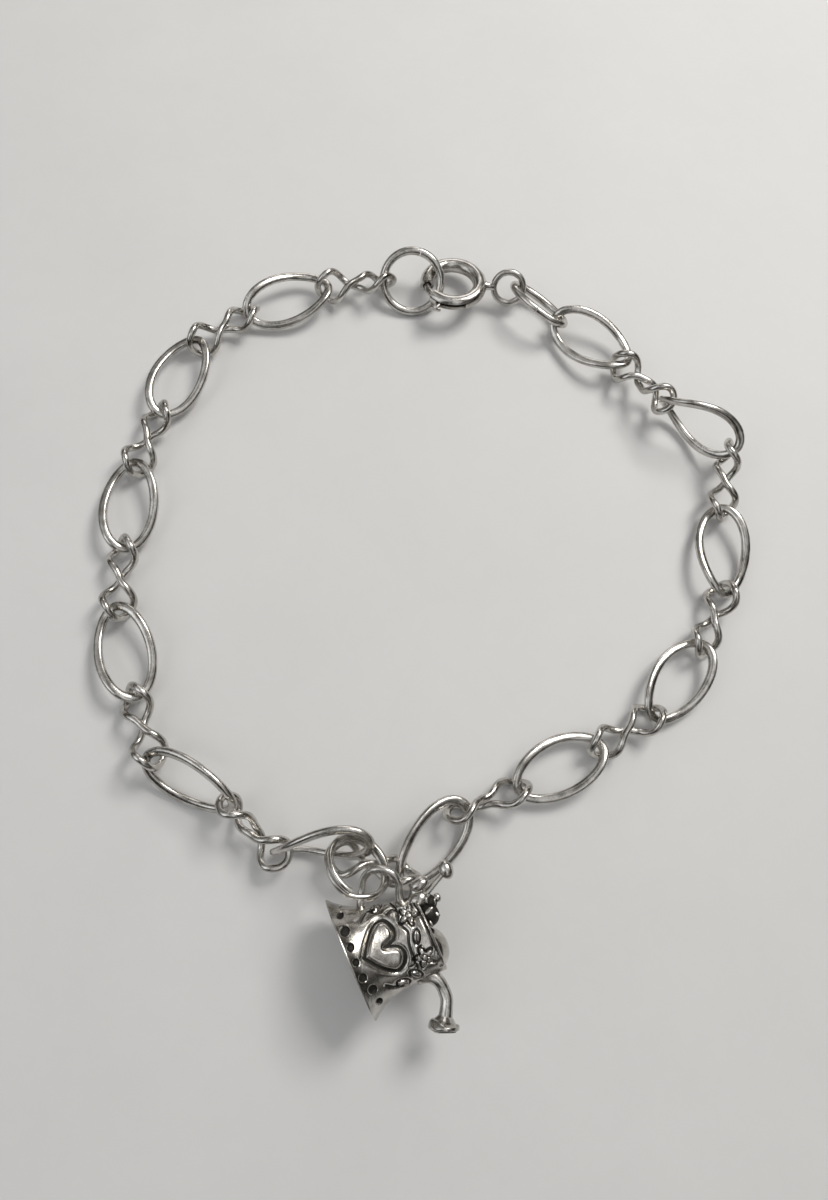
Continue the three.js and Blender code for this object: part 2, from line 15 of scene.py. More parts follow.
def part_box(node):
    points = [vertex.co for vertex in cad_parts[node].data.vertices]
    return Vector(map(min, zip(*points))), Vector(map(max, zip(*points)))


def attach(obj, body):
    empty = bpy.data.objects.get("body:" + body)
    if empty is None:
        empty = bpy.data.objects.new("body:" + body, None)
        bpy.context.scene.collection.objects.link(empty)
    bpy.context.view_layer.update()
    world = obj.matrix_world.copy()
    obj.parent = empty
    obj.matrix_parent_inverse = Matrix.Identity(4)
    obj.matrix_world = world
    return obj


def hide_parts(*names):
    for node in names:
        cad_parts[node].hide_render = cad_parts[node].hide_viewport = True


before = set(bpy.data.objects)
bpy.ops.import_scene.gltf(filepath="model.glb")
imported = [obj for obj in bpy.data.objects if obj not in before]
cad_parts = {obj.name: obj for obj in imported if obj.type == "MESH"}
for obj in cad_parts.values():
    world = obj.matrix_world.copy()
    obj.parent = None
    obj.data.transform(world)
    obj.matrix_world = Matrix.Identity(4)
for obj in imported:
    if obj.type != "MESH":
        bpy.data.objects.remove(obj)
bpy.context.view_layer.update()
MM = 0.001
TAU = 2 * math.pi
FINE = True

# %% [markdown]
# ## Camera and light
# The photograph looks down on the bracelet from a hand's breadth above it. A camera can be aimed by
# a target, but here its three axes are worked out from a tilt, a yaw and a roll, because those are
# what was measured. A large soft light stands to the upper right, so that the shadows fall to the
# lower left, and two weak ones lift the dark sides.

# %%
TILT, YAW, ROLL = math.radians(15.7), math.radians(12.5), math.radians(12.0)
CAMERA_PLACE = Vector((-6.19, -21.19, 78.26)) * MM

forward = Vector((math.sin(YAW) * math.sin(TILT), math.cos(YAW) * math.sin(TILT), -math.cos(TILT)))
level = Vector((math.cos(YAW), -math.sin(YAW), 0))
upward = level.cross(forward)
right = math.cos(ROLL) * level + math.sin(ROLL) * upward
top = -math.sin(ROLL) * level + math.cos(ROLL) * upward

camera_data = bpy.data.cameras.new("camera")
camera_data.sensor_fit = "VERTICAL"
camera_data.sensor_height = 36
camera_data.lens = 27
camera_data.clip_start = 0.001
camera = bpy.data.objects.new("camera", camera_data)
camera.matrix_world = Matrix((
    (right.x, top.x, -forward.x, CAMERA_PLACE.x),
    (right.y, top.y, -forward.y, CAMERA_PLACE.y),
    (right.z, top.z, -forward.z, CAMERA_PLACE.z),
    (0, 0, 0, 1),
))
scene = bpy.context.scene
scene.collection.objects.link(camera)
scene.camera = camera
scene.render.resolution_x, scene.render.resolution_y = 828, 1200
scene.render.engine = "CYCLES"
scene.cycles.samples = 128
scene.view_settings.view_transform = "Standard"


def area_light(name, place, target, size, power, colour):
    data = bpy.data.lights.new(name, "AREA")
    data.size, data.energy, data.color = size, power, colour
    light = bpy.data.objects.new(name, data)
    light.location = Vector(place)
    light.rotation_euler = (Vector(target) - light.location).to_track_quat("-Z", "Y").to_euler()
    scene.collection.objects.link(light)


area_light("key", (0.16, 0.17, 0.26), (0, 0, 0), 0.13, 0.70, (1.0, 0.97, 0.92))
area_light("fill", (-0.28, -0.08, 0.22), (0, 0, 0), 0.22, 0.15, (0.93, 0.96, 1.0))
area_light("back", (0.02, 0.34, 0.10), (0, 0, 0), 0.12, 0.10, (1.0, 0.98, 0.95))
print("camera", tuple(round(v, 4) for v in camera.location))

# %% [markdown]
# ## Shader maths
# Materials are graphs of nodes, and long graphs are hard to read. A socket wrapped in `Value` can be
# added and multiplied like a number, each time adding a Math node, and `Nodes.add` makes any other
# node from its type, its settings and what feeds it.


# %%
class Value:
    def __init__(self, nodes, socket):
        self.nodes, self.socket = nodes, socket

    def _maths(self, operation, *others):
        node = self.nodes.tree.nodes.new("ShaderNodeMath")
        node.operation = operation
        for at, value in enumerate((self, *others)):
            self.nodes.feed(node.inputs[at], value)
        return Value(self.nodes, node.outputs[0])

    def __add__(self, other):
        return self._maths("ADD", other)

    def __sub__(self, other):
        return self._maths("SUBTRACT", other)

    def __mul__(self, other):
        return self._maths("MULTIPLY", other)

    __radd__, __rmul__ = __add__, __mul__

    def __pow__(self, other):
        return self._maths("POWER", other)


class Nodes:
    def __init__(self, tree):
        self.tree = tree

    def feed(self, socket, value):
        if isinstance(value, Value):
            self.tree.links.new(value.socket, socket)
        else:
            socket.default_value = value

    def add(self, kind, output=0, settings=None, stops=(), **inputs):
        node = self.tree.nodes.new(kind)
        for key, value in (settings or {}).items():
            setattr(node, key, value)
        if stops:
            while len(node.color_ramp.elements) < len(stops):
                node.color_ramp.elements.new(0.5)
            for element, (at, colour) in zip(node.color_ramp.elements, stops):
                element.position, element.color = at, (*colour, 1)
        for key, value in inputs.items():
            self.feed(node.inputs[key.replace("_", " ")], value)
        return Value(self, node.outputs[output])


def grey(level, warm=0.0):
    return (level * (1 + warm), level, level * (1 - 1.6 * warm))


BUMP_DEPTH = 0.05 * MM
SCRATCH_SCALE, SCRATCH_TURN = (3200, 420, 900), (0.4, 0.2, 0.7)


def material(name, stops, rough, spread, metallic, bump, scale):
    made = bpy.data.materials.new(name)
    made.use_nodes = True
    nodes = Nodes(made.node_tree)
    shader = made.node_tree.nodes["Principled BSDF"]
    place = nodes.add("ShaderNodeTexCoord", "Object")
    cloud = nodes.add("ShaderNodeTexNoise", Vector=place, Scale=scale, Detail=5.0, Roughness=0.6)
    fine = nodes.add("ShaderNodeTexNoise", Vector=place, Scale=scale * 9, Detail=3.0, Roughness=0.7)
    stretch = nodes.add("ShaderNodeMapping", Vector=place, Scale=SCRATCH_SCALE, Rotation=SCRATCH_TURN)
    scratch = nodes.add("ShaderNodeTexNoise", Vector=stretch, Scale=1.0, Detail=2.0) ** 4.0
    tint = nodes.add("ShaderNodeValToRGB", stops=stops, Fac=0.75 * cloud + 0.25 * fine)
    nodes.feed(shader.inputs["Base Color"], tint)
    nodes.feed(shader.inputs["Roughness"], (cloud - 0.5) * spread + 0.1 * fine + rough)
    shader.inputs["Metallic"].default_value = metallic
    height = 0.5 * cloud + 0.3 * fine + 0.8 * scratch
    relief_ = nodes.add("ShaderNodeBump", Strength=bump, Distance=BUMP_DEPTH, Height=height)
    nodes.feed(shader.inputs["Normal"], relief_)
    return made


# %% [markdown]
# ## Three finishes
# Worn silver is a mirror with cloudy tarnish, tiny scratches and patches that are duller. The
# grooves of the charm are blackened on purpose, and the same near-black finish is painted inside
# the clasp's bore as painted shade. A noise at two scales gives the clouds of silver and of the
# black finish, and a third, stretched one gives the scratches. All read Object coordinates, because
# every piece's object sits at the origin.

# %%
SILVER = material(
    "silver", [(0.3, grey(0.24, 0.06)), (0.45, grey(0.46, 0.04)), (0.62, grey(0.68, 0.025))],
    0.17, 0.3, 1.0, 0.4, 900,
)
# Near-black finish: oxide in the charm's grooves and posy, and painted shade inside the clasp's bore.
OXIDE_AND_BORE_SHADE = material(
    "oxidised_silver_and_bore_shade", [(0.3, grey(0.008, 0.05)), (0.7, grey(0.04, 0.08))], 0.55, 0.2, 0.6, 0.5, 1500,
)
TABLE = material(
    "table", [(0.3, grey(0.715, 0.0)), (0.7, grey(0.755, 0.0))], 0.6, 0.1, 0.0, 0.05, 60,
)
print("materials", [made.name for made in (SILVER, OXIDE_AND_BORE_SHADE, TABLE)])

# %% [markdown]
# ## The room and the table
# Silver shows what stands round it. An even white room would make it flat, so this one is bright
# overhead, dark near the horizon, and has soft bands. The dark parts draw the wires' edges.

# %%
world = bpy.data.worlds.new("room")
world.use_nodes = True
scene.world = world
room = Nodes(world.node_tree)
direction = room.add("ShaderNodeTexCoord", "Generated")
tilted = room.add("ShaderNodeMapping", Vector=direction, Rotation=(0.35, -0.5, 0.3))
bands = room.add("ShaderNodeTexNoise", Vector=tilted, Scale=2.3, Detail=1.0, Distortion=0.4)
BAND_STOPS = [(0.38, grey(0.06, 0.06)), (0.5, grey(0.36, 0.02)), (0.61, grey(1.15, 0.0))]
HEIGHT_STOPS = [(0.0, grey(0.04, 0.1)), (0.35, grey(0.22, 0.06)), (0.75, grey(1.3, 0.0))]
ROOM_STRENGTH = 0.60
banded = room.add("ShaderNodeValToRGB", stops=BAND_STOPS, Fac=bands)
up = room.add("ShaderNodeSeparateXYZ", 2, Vector=direction)
high = room.add("ShaderNodeValToRGB", stops=HEIGHT_STOPS, Fac=up)
lit = room.add("ShaderNodeVectorMath", settings={"operation": "MULTIPLY"})
room.feed(lit.socket.node.inputs[0], banded)
room.feed(lit.socket.node.inputs[1], high)
background = world.node_tree.nodes["Background"]
room.feed(background.inputs["Color"], lit)
background.inputs["Strength"].default_value = ROOM_STRENGTH

bpy.ops.mesh.primitive_plane_add(size=1.2)
floor = bpy.context.object
floor.name = "table_top"
floor.data.materials.append(TABLE)
print("world and table ready")

# %% [markdown]
# ## Sizes and the route
# The sizes are the solids' own, in millimetres. Each link hooks into the one before, so the chain is
# walked piece by piece: a row of the route gives a piece, its heading, roll, twist and height, and
# how far its joint is moved. What stays open at the end is shared out along the way.

# %%
LONG_LENGTH, LONG_WIDTH, LONG_WIDE, LONG_THICK = 9.05, 5.25, 0.8, 0.6
SMALL_LENGTH, SMALL_WIDTH, SMALL_WIRE = 8.05, 3.4, 0.65
WAIST_GAP, WAIST_SHARPNESS, TWIST_ZONE = 0.12, 8, 0.95
JUMP_OUTER, JUMP_WIRE = 6.4, 0.8
CONNECTOR_LENGTH, CONNECTOR_WIDTH, CONNECTOR_WIRE, CUT_GAP = 6.9, 4.1, 0.75, 0.08
CLASP_OUTER, CLASP_TUBE, CLASP_WALL, MOUTH_START, MOUTH_END = 6.5, 1.35, 0.25, 10, 45
LOOP_TILT, LOOP_OUTER, LOOP_WIRE, COLLAR_LENGTH, COLLAR_DIAMETER = -60, 3.5, 0.62, 0.4, 0.8
BOLT_DIAMETER, BOLT_START, BOLT_END, BUTTON_ANGLE, STEM_DIAMETER = 0.65, 5, 78, 66, 0.36
SLOT_WIDTH, TRIGGER_TRAVEL, BUTTON_REACH = 0.56, 42, 0.62
SPLIT_OUTER, SPLIT_WIRE, SPLIT_PITCH, SPLIT_TURNS, SPLIT_STEP = 5.6, 0.46, 0.54, 1.9, 0.5
LINK_GAP, LINK_SLACK = 0.15, 0.17
CHARM_PLACE = ((-8.0, -61.4, 3.65), (0, 0, 24))
SPLIT_PLACE = ((-7.4, -54.5, 4.85), (-39, -22, -72))
ROUTE = [
    ("jump_ring", 178, -35, 0, 2.0), ("twisted", -174, 97, -330, 1.6), ("long", -158, -10, -50, 1.5),
    ("twisted", -145, 85, -300, 1.4), ("long", -112, 0, -40, 1.4), ("twisted", -109, 90, -300, 1.4),
    ("long", -93, 0, -40, 1.4), ("twisted", -91, 90, -300, 1.4), ("long", -75, 0, -40, 1.4),
    ("twisted", -70, 90, -300, 2.0), ("long", -28, 50, 20, 2.4), ("twisted", -46, -25, -320, 1.7),
    ("long", 5, 70, -52, 4.6, (0.2, 0.7, 0)), ("twisted", -15, 50, -260, 2.0, (-2.1, -1.1, -2.4)),
    ("long", 51, 31, -32, 1.7, (-0.4, -0.3, -0.4)), ("twisted", 20, 33, -190, 1.4, (-0.5, -0.5, 0)),
    ("long", 25, 0, -40, 1.4, (0.1, 0.1, 0)), ("twisted", 29, 90, -300, 1.4), ("long", 50, 5, -50, 1.4),
    ("twisted", 64, 90, -300, 1.4), ("long", 86, 5, -50, 1.5), ("twisted", 81, 60, -360, 2.65),
    ("long", 143, 105, -80, 2.8, (0.3, 0.1, 0.3)), ("twisted", 130, -57, -385, 1.8),
    ("long", 146, -12, -60, 1.8, (0.6, 0.4, 0)), ("connector", 140, 40, 0, 2.2), ("clasp", 176, 13, 0, 2.0),
]
CLASP_SPAN = CLASP_OUTER + COLLAR_LENGTH + LOOP_OUTER - (CLASP_TUBE + LOOP_WIRE) / 2
KINDS = {
    "jump_ring": (JUMP_OUTER - JUMP_WIRE, JUMP_WIRE, JUMP_WIRE),
    "twisted": (SMALL_LENGTH - SMALL_WIRE, SMALL_WIRE, SMALL_WIRE),
    "long": (LONG_LENGTH - LONG_WIDE, LONG_WIDE, LONG_WIDE),
    "connector": (CONNECTOR_LENGTH - CONNECTOR_WIRE, CONNECTOR_WIRE, CONNECTOR_WIRE),
    "clasp": (CLASP_SPAN, LOOP_WIRE, CLASP_TUBE),
}


def turned(place, x, y, z):
    turn = Matrix.Rotation(z, 4, "Z") @ Matrix.Rotation(y, 4, "Y") @ Matrix.Rotation(x, 4, "X")
    return Matrix.Translation(place) @ turn


def placed(place, angles):
    return turned(Vector(place), *(math.radians(angle) for angle in angles))


def walk():
    hook = lambda one, other: (one + other) / 2 + LINK_GAP + LINK_SLACK
    count = len(ROUTE)
    joint = Vector((0, 0, ROUTE[-1][4]))
    stops = []
    for i, (piece, heading, roll, _, height, *shift) in enumerate(ROUTE):
        span, near, far = KINDS[piece]
        start = hook(KINDS[ROUTE[i - 1][0]][2], near) / 2
        end = hook(far, KINDS[ROUTE[(i + 1) % count][0]][1]) / 2
        joint += Vector(shift[0]) if shift else Vector()
        step = span - start - end
        pitch = math.asin((height - joint.z) / step)
        turn = math.radians(heading)
        along = Vector((math.cos(pitch) * math.cos(turn), math.cos(pitch) * math.sin(turn), math.sin(pitch)))
        stops.append((joint + along * (span / 2 - start), math.radians(roll), -pitch, turn))
        joint = joint + along * step
    rest = Vector((joint.x, joint.y, 0))
    return [turned(c - rest * ((i + 0.5) / count), *angles) for i, (c, *angles) in enumerate(stops)]


FRAMES = walk()
print("pieces on the route", len(FRAMES))

# %% [markdown]
# ## Wire
# All links are bent wire. A curve with a bevel could draw them, but it would turn a flattened
# section as it likes, and these links twist along their length. So a sweep carries the section
# along the wire and keeps it square to the link's own surface. `Piece` collects such skins and
# lumps into one mesh, and puts it in place.


# %%
def unit(vectors):
    return vectors / np.linalg.norm(vectors, axis=-1, keepdims=True)


def round_section(diameter, sides=18, power=1.0, thick=None):
    angle = TAU * (np.arange(sides) + 0.5) / sides
    c, s = np.cos(angle), np.sin(angle)
    return np.stack([
        np.sign(c) * np.abs(c) ** power * diameter / 2, np.sign(s) * np.abs(s) ** power * (thick or diameter) / 2,
    ], axis=1)


def sweep(place, section, steps, start=0.0, stop=TAU):
    closed = stop - start > TAU - 1e-9
    t = start + (stop - start) * np.arange(steps if closed else steps + 1) / steps
    centre, normal = place(t)
    tangent = unit(place(t + 1e-3)[0] - place(t - 1e-3)[0])
    across = unit(np.cross(normal, tangent))
    through = np.cross(tangent, across)
    u, v = section[None, :, :1], section[None, :, 1:]
    return centre[:, None] + u * across[:, None] + v * through[:, None], closed


def oval(length, width, twist=0.0, middle=0.0):
    def place(t):
        x = length / 2 * np.cos(t)
        angle = math.radians(twist) * x / length
        y = width / 2 * np.sin(t)
        zero = np.zeros_like(t)
        return (
            np.stack([x + middle, y * np.cos(angle), y * np.sin(angle)], axis=1),
            np.stack([zero, -np.sin(angle), np.cos(angle)], axis=1),
        )
    return place


def figure_eight(twist):
    half, widest = (SMALL_LENGTH - SMALL_WIRE) / 2, (SMALL_WIDTH - SMALL_WIRE) / 2
    ratio = (SMALL_WIRE + WAIST_GAP) / 2 / widest

    def peak(depth):
        sine = (1 / (depth * (WAIST_SHARPNESS + 1))) ** (1 / WAIST_SHARPNESS)
        return sine * (1 - depth * sine ** WAIST_SHARPNESS)

    depth = 0.8
    for _ in range(20):
        depth = 1 - ratio * peak(depth)

    def place(t):
        x, sine = half * np.cos(t), np.sin(t)
        offset = widest * sine * (1 - depth * np.abs(sine) ** WAIST_SHARPNESS) / peak(depth)
        share = np.clip(x / (half * TWIST_ZONE), -1, 1)
        angle = math.radians(twist) * 0.25 * share * (3 - share * share)
        return (
            np.stack([x, offset * np.cos(angle), offset * np.sin(angle)], axis=1),
            np.stack([np.zeros_like(t), -np.sin(angle), np.cos(angle)], axis=1),
        )
    return place


SHARP_ANGLE = math.radians(50)


class Piece:
    def __init__(self):
        self.points, self.faces, self.dark = [], [], []

    def skin(self, rings, closed=False, caps=True, dark=None):
        base, (count, sides) = len(self.points), rings.shape[:2]
        self.points.extend(map(tuple, rings.reshape(-1, 3)))
        for i in range(count if closed else count - 1):
            near, far = base + i * sides, base + ((i + 1) % count) * sides
            for j in range(sides):
                k = (j + 1) % sides
                self.faces.append((near + j, near + k, far + k, far + j))
                self.dark.append(bool(dark is not None and dark[i, j]))
        if caps and not closed:
            last = base + (count - 1) * sides
            self.faces += [tuple(range(base + sides - 1, base - 1, -1)), tuple(range(last, last + sides))]
            self.dark += [False, False]
        return self

    def lump(self, middle, radii, turn=0.0, dark=False, sides=28):
        tall = np.linspace(-math.pi / 2, math.pi / 2, sides // 2)[:, None]
        round_ = (TAU * np.arange(sides) / sides)[None]
        x, y = radii[0] * np.cos(tall) * np.cos(round_), radii[1] * np.cos(tall) * np.sin(round_)
        z = radii[2] * np.sin(tall) + 0 * round_
        c, s = math.cos(turn), math.sin(turn)
        rings = np.stack([x * c - y * s, x * s + y * c, z], axis=2) + np.array(middle)
        return self.skin(rings, dark=np.full((sides // 2, sides), dark))

    def rod(self, points, diameters, sides=20, fine=10, dark=False):
        centre = spline(np.array(points, float), fine)
        width = spline(np.array(diameters, float)[:, None], fine)
        tangent = unit(np.gradient(centre, axis=0))
        across = unit(np.cross((0, 0, 1), tangent))
        through = np.cross(tangent, across)
        section = round_section(1.0, sides)
        u, v = section[None, :, :1], section[None, :, 1:]
        rings = centre[:, None] + (width * across)[:, None] * u + (width * through)[:, None] * v
        return self.skin(rings, dark=np.full(rings.shape[:2], dark))

    def build(self, name, matrix, body, *nodes):
        mesh = bpy.data.meshes.new(name)
        mesh.from_pydata(self.points, [], self.faces)
        shape = bmesh.new()
        shape.from_mesh(mesh)
        place = Matrix.Scale(MM, 4) @ Matrix.Translation(SHIFT) @ matrix
        bmesh.ops.transform(shape, matrix=place, verts=shape.verts)
        shape.faces.ensure_lookup_table()
        for face, dark in zip(shape.faces, self.dark):
            face.material_index, face.smooth = int(dark), True
        bmesh.ops.remove_doubles(shape, verts=shape.verts, dist=1e-9)
        bmesh.ops.recalc_face_normals(shape, faces=shape.faces)
        shape.to_mesh(mesh)
        shape.free()
        mesh.materials.append(SILVER)
        if any(self.dark):
            mesh.materials.append(OXIDE_AND_BORE_SHADE)
        mesh.set_sharp_from_angle(angle=SHARP_ANGLE)
        made = bpy.data.objects.new(name, mesh)
        scene.collection.objects.link(made)
        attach(made, body)
        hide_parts(*nodes)
        return made


def spline(points, fine):
    ends = np.concatenate([[2 * points[0] - points[1]], points, [2 * points[-1] - points[-2]]])
    out = []
    for a, b, c, d in zip(ends, ends[1:], ends[2:], ends[3:]):
        for t in np.arange(fine) / fine:
            curve = 2 * b + (c - a) * t + (2 * a - 5 * b + 4 * c - d) * t * t
            out.append(0.5 * (curve + (3 * b - a - 3 * c + d) * t ** 3))
    return np.array([*out, points[-1]])


LONG_STEPS, SMALL_STEPS, CUT_STEPS, FLATNESS = 96, 144, 90, 0.82


def long_wire(twist):
    section = round_section(LONG_WIDE, 20, FLATNESS, LONG_THICK)
    return sweep(oval(LONG_LENGTH - LONG_WIDE, LONG_WIDTH - LONG_WIDE, twist), section, LONG_STEPS)


def twisted_wire(twist):
    return sweep(figure_eight(twist), round_section(SMALL_WIRE), SMALL_STEPS)


def cut_wire(length, width, wire, angle):
    half, cut = CUT_GAP / (min(length, width) - wire), math.radians(angle)
    path = oval(length - wire, width - wire)
    return sweep(path, round_section(wire), CUT_STEPS, cut + half, cut + TAU - half)


# %% [markdown]
# The solids were centred after their own walk. The box of the second long link says by how much.

# %%
SECOND_LONG = 4
second = long_wire(ROUTE[SECOND_LONG][3])[0].reshape(-1, 3)
second = np.array([FRAMES[SECOND_LONG] @ Vector(p) for p in second])
low, high = (np.array(corner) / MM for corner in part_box("long_link_02"))
SHIFT = Vector((low + high) / 2 - (second.min(axis=0) + second.max(axis=0)) / 2)
print("shift in mm", [round(v, 3) for v in SHIFT])

# %% [markdown]
# ## The chain
# Long ovals of flattened wire take turns with small figures of eight in round wire. The jump ring
# and the connector are plain rings whose saw cut shows, so their sweep stops short of a full turn.

# %%
JUMP_CUT, CONNECTOR_CUT = -105, 97
counts = {"long": 0, "twisted": 0}
for (kind, _, _, twist, *_), matrix in zip(ROUTE, FRAMES):
    wire = Piece()
    if kind in counts:
        counts[kind] += 1
        node = f"{kind}_link_{counts[kind]:02d}"
        wire.skin(*(long_wire(twist) if kind == "long" else twisted_wire(twist)))
    elif kind == "jump_ring":
        node = kind
        wire.skin(*cut_wire(JUMP_OUTER, JUMP_OUTER, JUMP_WIRE, JUMP_CUT))
    elif kind == "connector":
        node = "connector_link"
        wire.skin(*cut_wire(CONNECTOR_LENGTH, CONNECTOR_WIDTH, CONNECTOR_WIRE, CONNECTOR_CUT))
    else:
        continue
    wire.build("silver_" + node, matrix, "bracelet", node)
print("links", counts)

# %% [markdown]
# ## The clasp
# A spring ring is a hollow tube bent round, with a mouth that a bolt closes. The outside and the
# bore are two skins with the same grid, so that the slot for the knob is left out of both and its
# sides are bridged. A boolean would cut it too, but leaves thin faces that shade badly.

# %%
RING_RADIUS = (CLASP_OUTER - CLASP_TUBE) / 2
RING_X = CLASP_SPAN / 2 - RING_RADIUS


def ring_place(t):
    zero = np.zeros_like(t)
    return (
        np.stack([RING_X + RING_RADIUS * np.cos(t), RING_RADIUS * np.sin(t), zero], axis=1),
        np.stack([zero, zero, zero + 1], axis=1),
    )


STEPS, SIDES = 180, 36
start, stop = math.radians(MOUTH_END), math.radians(MOUTH_START + 360)
shell = Piece()
outer = sweep(ring_place, round_section(CLASP_TUBE, SIDES), STEPS, start, stop)[0]
inner = sweep(ring_place, round_section(CLASP_TUBE - 2 * CLASP_WALL, SIDES), STEPS, start, stop)[0]
angle = start + (stop - start) * (np.arange(STEPS) + 0.5) / STEPS
half_stem = STEM_DIAMETER / 2 / RING_RADIUS + math.radians(2)
slot_start = math.radians(BUTTON_ANGLE) - half_stem
slot_end = math.radians(BUTTON_ANGLE + TRIGGER_TRAVEL) + half_stem
in_slot = (angle > slot_start) & (angle < slot_end)
section = round_section(CLASP_TUBE, SIDES)
middle = (section + np.roll(section, -1, axis=0)) / 2
from_wire = outer[0, 0] - ring_place(np.array([start]))[0][0]
side = np.sign(from_wire @ np.array([math.cos(start), math.sin(start), 0]) * section[0, 0])
outward = middle[:, 0] * side > 0
open_ = in_slot[:, None] & (outward & (np.abs(middle[:, 1]) < SLOT_WIDTH / 2))[None]
shell.points = [tuple(p) for p in np.concatenate([outer.reshape(-1, 3), inner.reshape(-1, 3)])]
OFFSET = (STEPS + 1) * SIDES
for i in range(STEPS):
    for j in range(SIDES):
        k = (j + 1) % SIDES
        quad = (i * SIDES + j, i * SIDES + k, (i + 1) * SIDES + k, (i + 1) * SIDES + j)
        if not open_[i, j]:
            # The outer skin is silver; the bore gets the near-black finish as painted shade inside the tube.
            shell.faces += [quad, tuple(OFFSET + q for q in reversed(quad))]
            shell.dark += [False, True]
            continue
        sides = (
            (i, (j - 1) % SIDES, quad[0], quad[3]), (i, k, quad[1], quad[2]),
            (i - 1, j, quad[0], quad[1]), (i + 1, j, quad[2], quad[3]),
        )
        for a, b, p, q in sides:
            if not open_[a, b]:
                shell.faces.append((p, q, OFFSET + q, OFFSET + p))
                shell.dark.append(False)
for row in (0, STEPS * SIDES):
    for j in range(SIDES):
        p, q = row + j, row + (j + 1) % SIDES
        shell.faces.append((p, q, OFFSET + q, OFFSET + p))
        shell.dark.append(False)
loop_x = -CLASP_SPAN / 2 + (LOOP_OUTER - LOOP_WIRE) / 2
loop, _ = sweep(oval(LOOP_OUTER - LOOP_WIRE, LOOP_OUTER - LOOP_WIRE), round_section(LOOP_WIRE), 72)
tip = math.radians(LOOP_TILT)
lean = np.array([[1, 0, 0], [0, math.cos(tip), -math.sin(tip)], [0, math.sin(tip), math.cos(tip)]])
shell.skin(loop @ lean.T + np.array([loop_x, 0, 0]), closed=True)
root, end = RING_X - CLASP_OUTER / 2 + CLASP_WALL / 2, loop_x + (LOOP_OUTER - LOOP_WIRE) / 2
shell.rod(
    [(root, 0, 0), (root + (end - root) * 0.5, 0, 0), (end, 0, 0)],
    [COLLAR_DIAMETER * 1.15, COLLAR_DIAMETER * 0.92, COLLAR_DIAMETER * 1.05],
)
shell.build("silver_clasp_body", FRAMES[-1], "bracelet", "clasp_body")

# %% [markdown]
# The bolt and its knob move with the trigger's body, so they are a piece of their own.

# %%
bolt = Piece()
bolt_ends = math.radians(BOLT_START), math.radians(BOLT_END)
bolt.skin(*sweep(ring_place, round_section(BOLT_DIAMETER), 40, *bolt_ends))
c, s = math.cos(math.radians(BUTTON_ANGLE)), math.sin(math.radians(BUTTON_ANGLE))
reach = CLASP_OUTER / 2 + BUTTON_REACH
bolt.rod([(RING_X + r * c, r * s, 0) for r in (RING_RADIUS, reach)], [STEM_DIAMETER, STEM_DIAMETER])
bolt.lump((RING_X + reach * c, reach * s, 0), (0.16, 0.5, 0.25), math.radians(BUTTON_ANGLE))
bolt.build("silver_clasp_trigger", FRAMES[-1], "trigger", "clasp_trigger")
print("clasp faces", len(shell.faces), "bolt faces", len(bolt.faces))

# %% [markdown]
# ## The split ring
# A split ring is a flat coil of nearly two turns, and its wire steps from one turn to the next over
# a short part. The path is a circle whose height changes smoothly there.

# %%
radius, full = (SPLIT_OUTER - SPLIT_WIRE) / 2, TAU * SPLIT_TURNS


def coil_place(t):
    share = np.clip((t - full / 2 + SPLIT_STEP) / (2 * SPLIT_STEP), 0, 1)
    share = share * share * (3 - 2 * share)
    zero = np.zeros_like(t)
    return (
        np.stack([radius * np.cos(t), radius * np.sin(t), (share - 0.5) * SPLIT_PITCH], axis=1),
        np.stack([zero, zero, zero + 1], axis=1),
    )


t = np.linspace(0, full, 181)
centre, normal = coil_place(t)
across = unit(centre * np.array([1, 1, 0]))
flat = round_section(SPLIT_WIRE, 16, 0.85)
u, v = flat[None, :, :1], flat[None, :, 1:]
coil = Piece().skin(centre[:, None] + u * across[:, None] + v * normal[:, None])
coil.build("silver_split_ring", placed(*SPLIT_PLACE), "bracelet", "split_ring")
print("split ring turns", SPLIT_TURNS)

# %% [markdown]
# ## The watering can charm
# The charm is one casting whose ornament stands up from its face between blackened lines. A bump map
# would vanish in the mesh, so the wall is one fine skin and the heart, flowers, leaves and dots are
# pushed in or out of it. The faces in the deep lines get the dark finish. X runs from base to rim
# and Y to the handle.

# %%
CAN_LENGTH, BASE_WIDE, BASE_DEEP, RIM_WIDE, RIM_DEEP = 6.55, 9.8, 7.3, 6.0, 4.4
CAN_FLARE, CAN_LEAN, CAN_RECESS, CAN_EDGE, CAN_ROUNDING = 1.9, 0.13, 0.3, 0.45, 0.15
HANDLE_WIRE, HANDLE_START, HANDLE_LENGTH, HANDLE_REACH, HANDLE_LIFT = 0.6, 2.2, 3.55, 2.7, 1.0
SPOUT_DIAMETER, SPOUT_START, SPOUT_BOW, SPOUT_REACH, ROSE_DIAMETER = 1.0, 4.5, 1.1, 4.1, 2.35
RELIEF = 0.16

UPPER_LOBE = [
    (1.13, -0.1), (1.75, 0.85), (2.5, 1.62), (3.1, 1.85), (3.65, 1.62), (3.94, 0.9), (3.7, 0.2), (2.96, -0.09),
]
LOWER_LOBE = [
    (2.96, -0.09), (3.75, -0.45), (4.05, -1.05), (3.85, -1.7), (3.4, -2.05), (2.86, -2.06), (2.0, -1.35),
    (1.13, -0.1),
]
VINE = [(4.5, 2.55), (4.75, 1.9), (4.55, 1.0), (4.9, 0.2), (4.65, -0.6), (4.55, -1.4), (4.45, -2.6)]
RIM_LINE = [(6.12, 1.9), (6.28, 0.9), (6.3, -0.23), (6.26, -1.7), (6.17, -3.16)]
SCROLLS = [
    [(3.9, 2.0), (4.4, 2.1), (4.75, 1.9)], [(4.0, -2.2), (4.4, -2.2), (4.6, -1.9)],
    [(1.9, 2.3), (2.6, 2.75), (3.2, 2.6)], [(1.8, -2.6), (2.4, -3.1), (3.0, -3.2)],
]
FLOWERS = [(5.43, 1.21, 0.3), (5.27, -2.05, 0.9)]
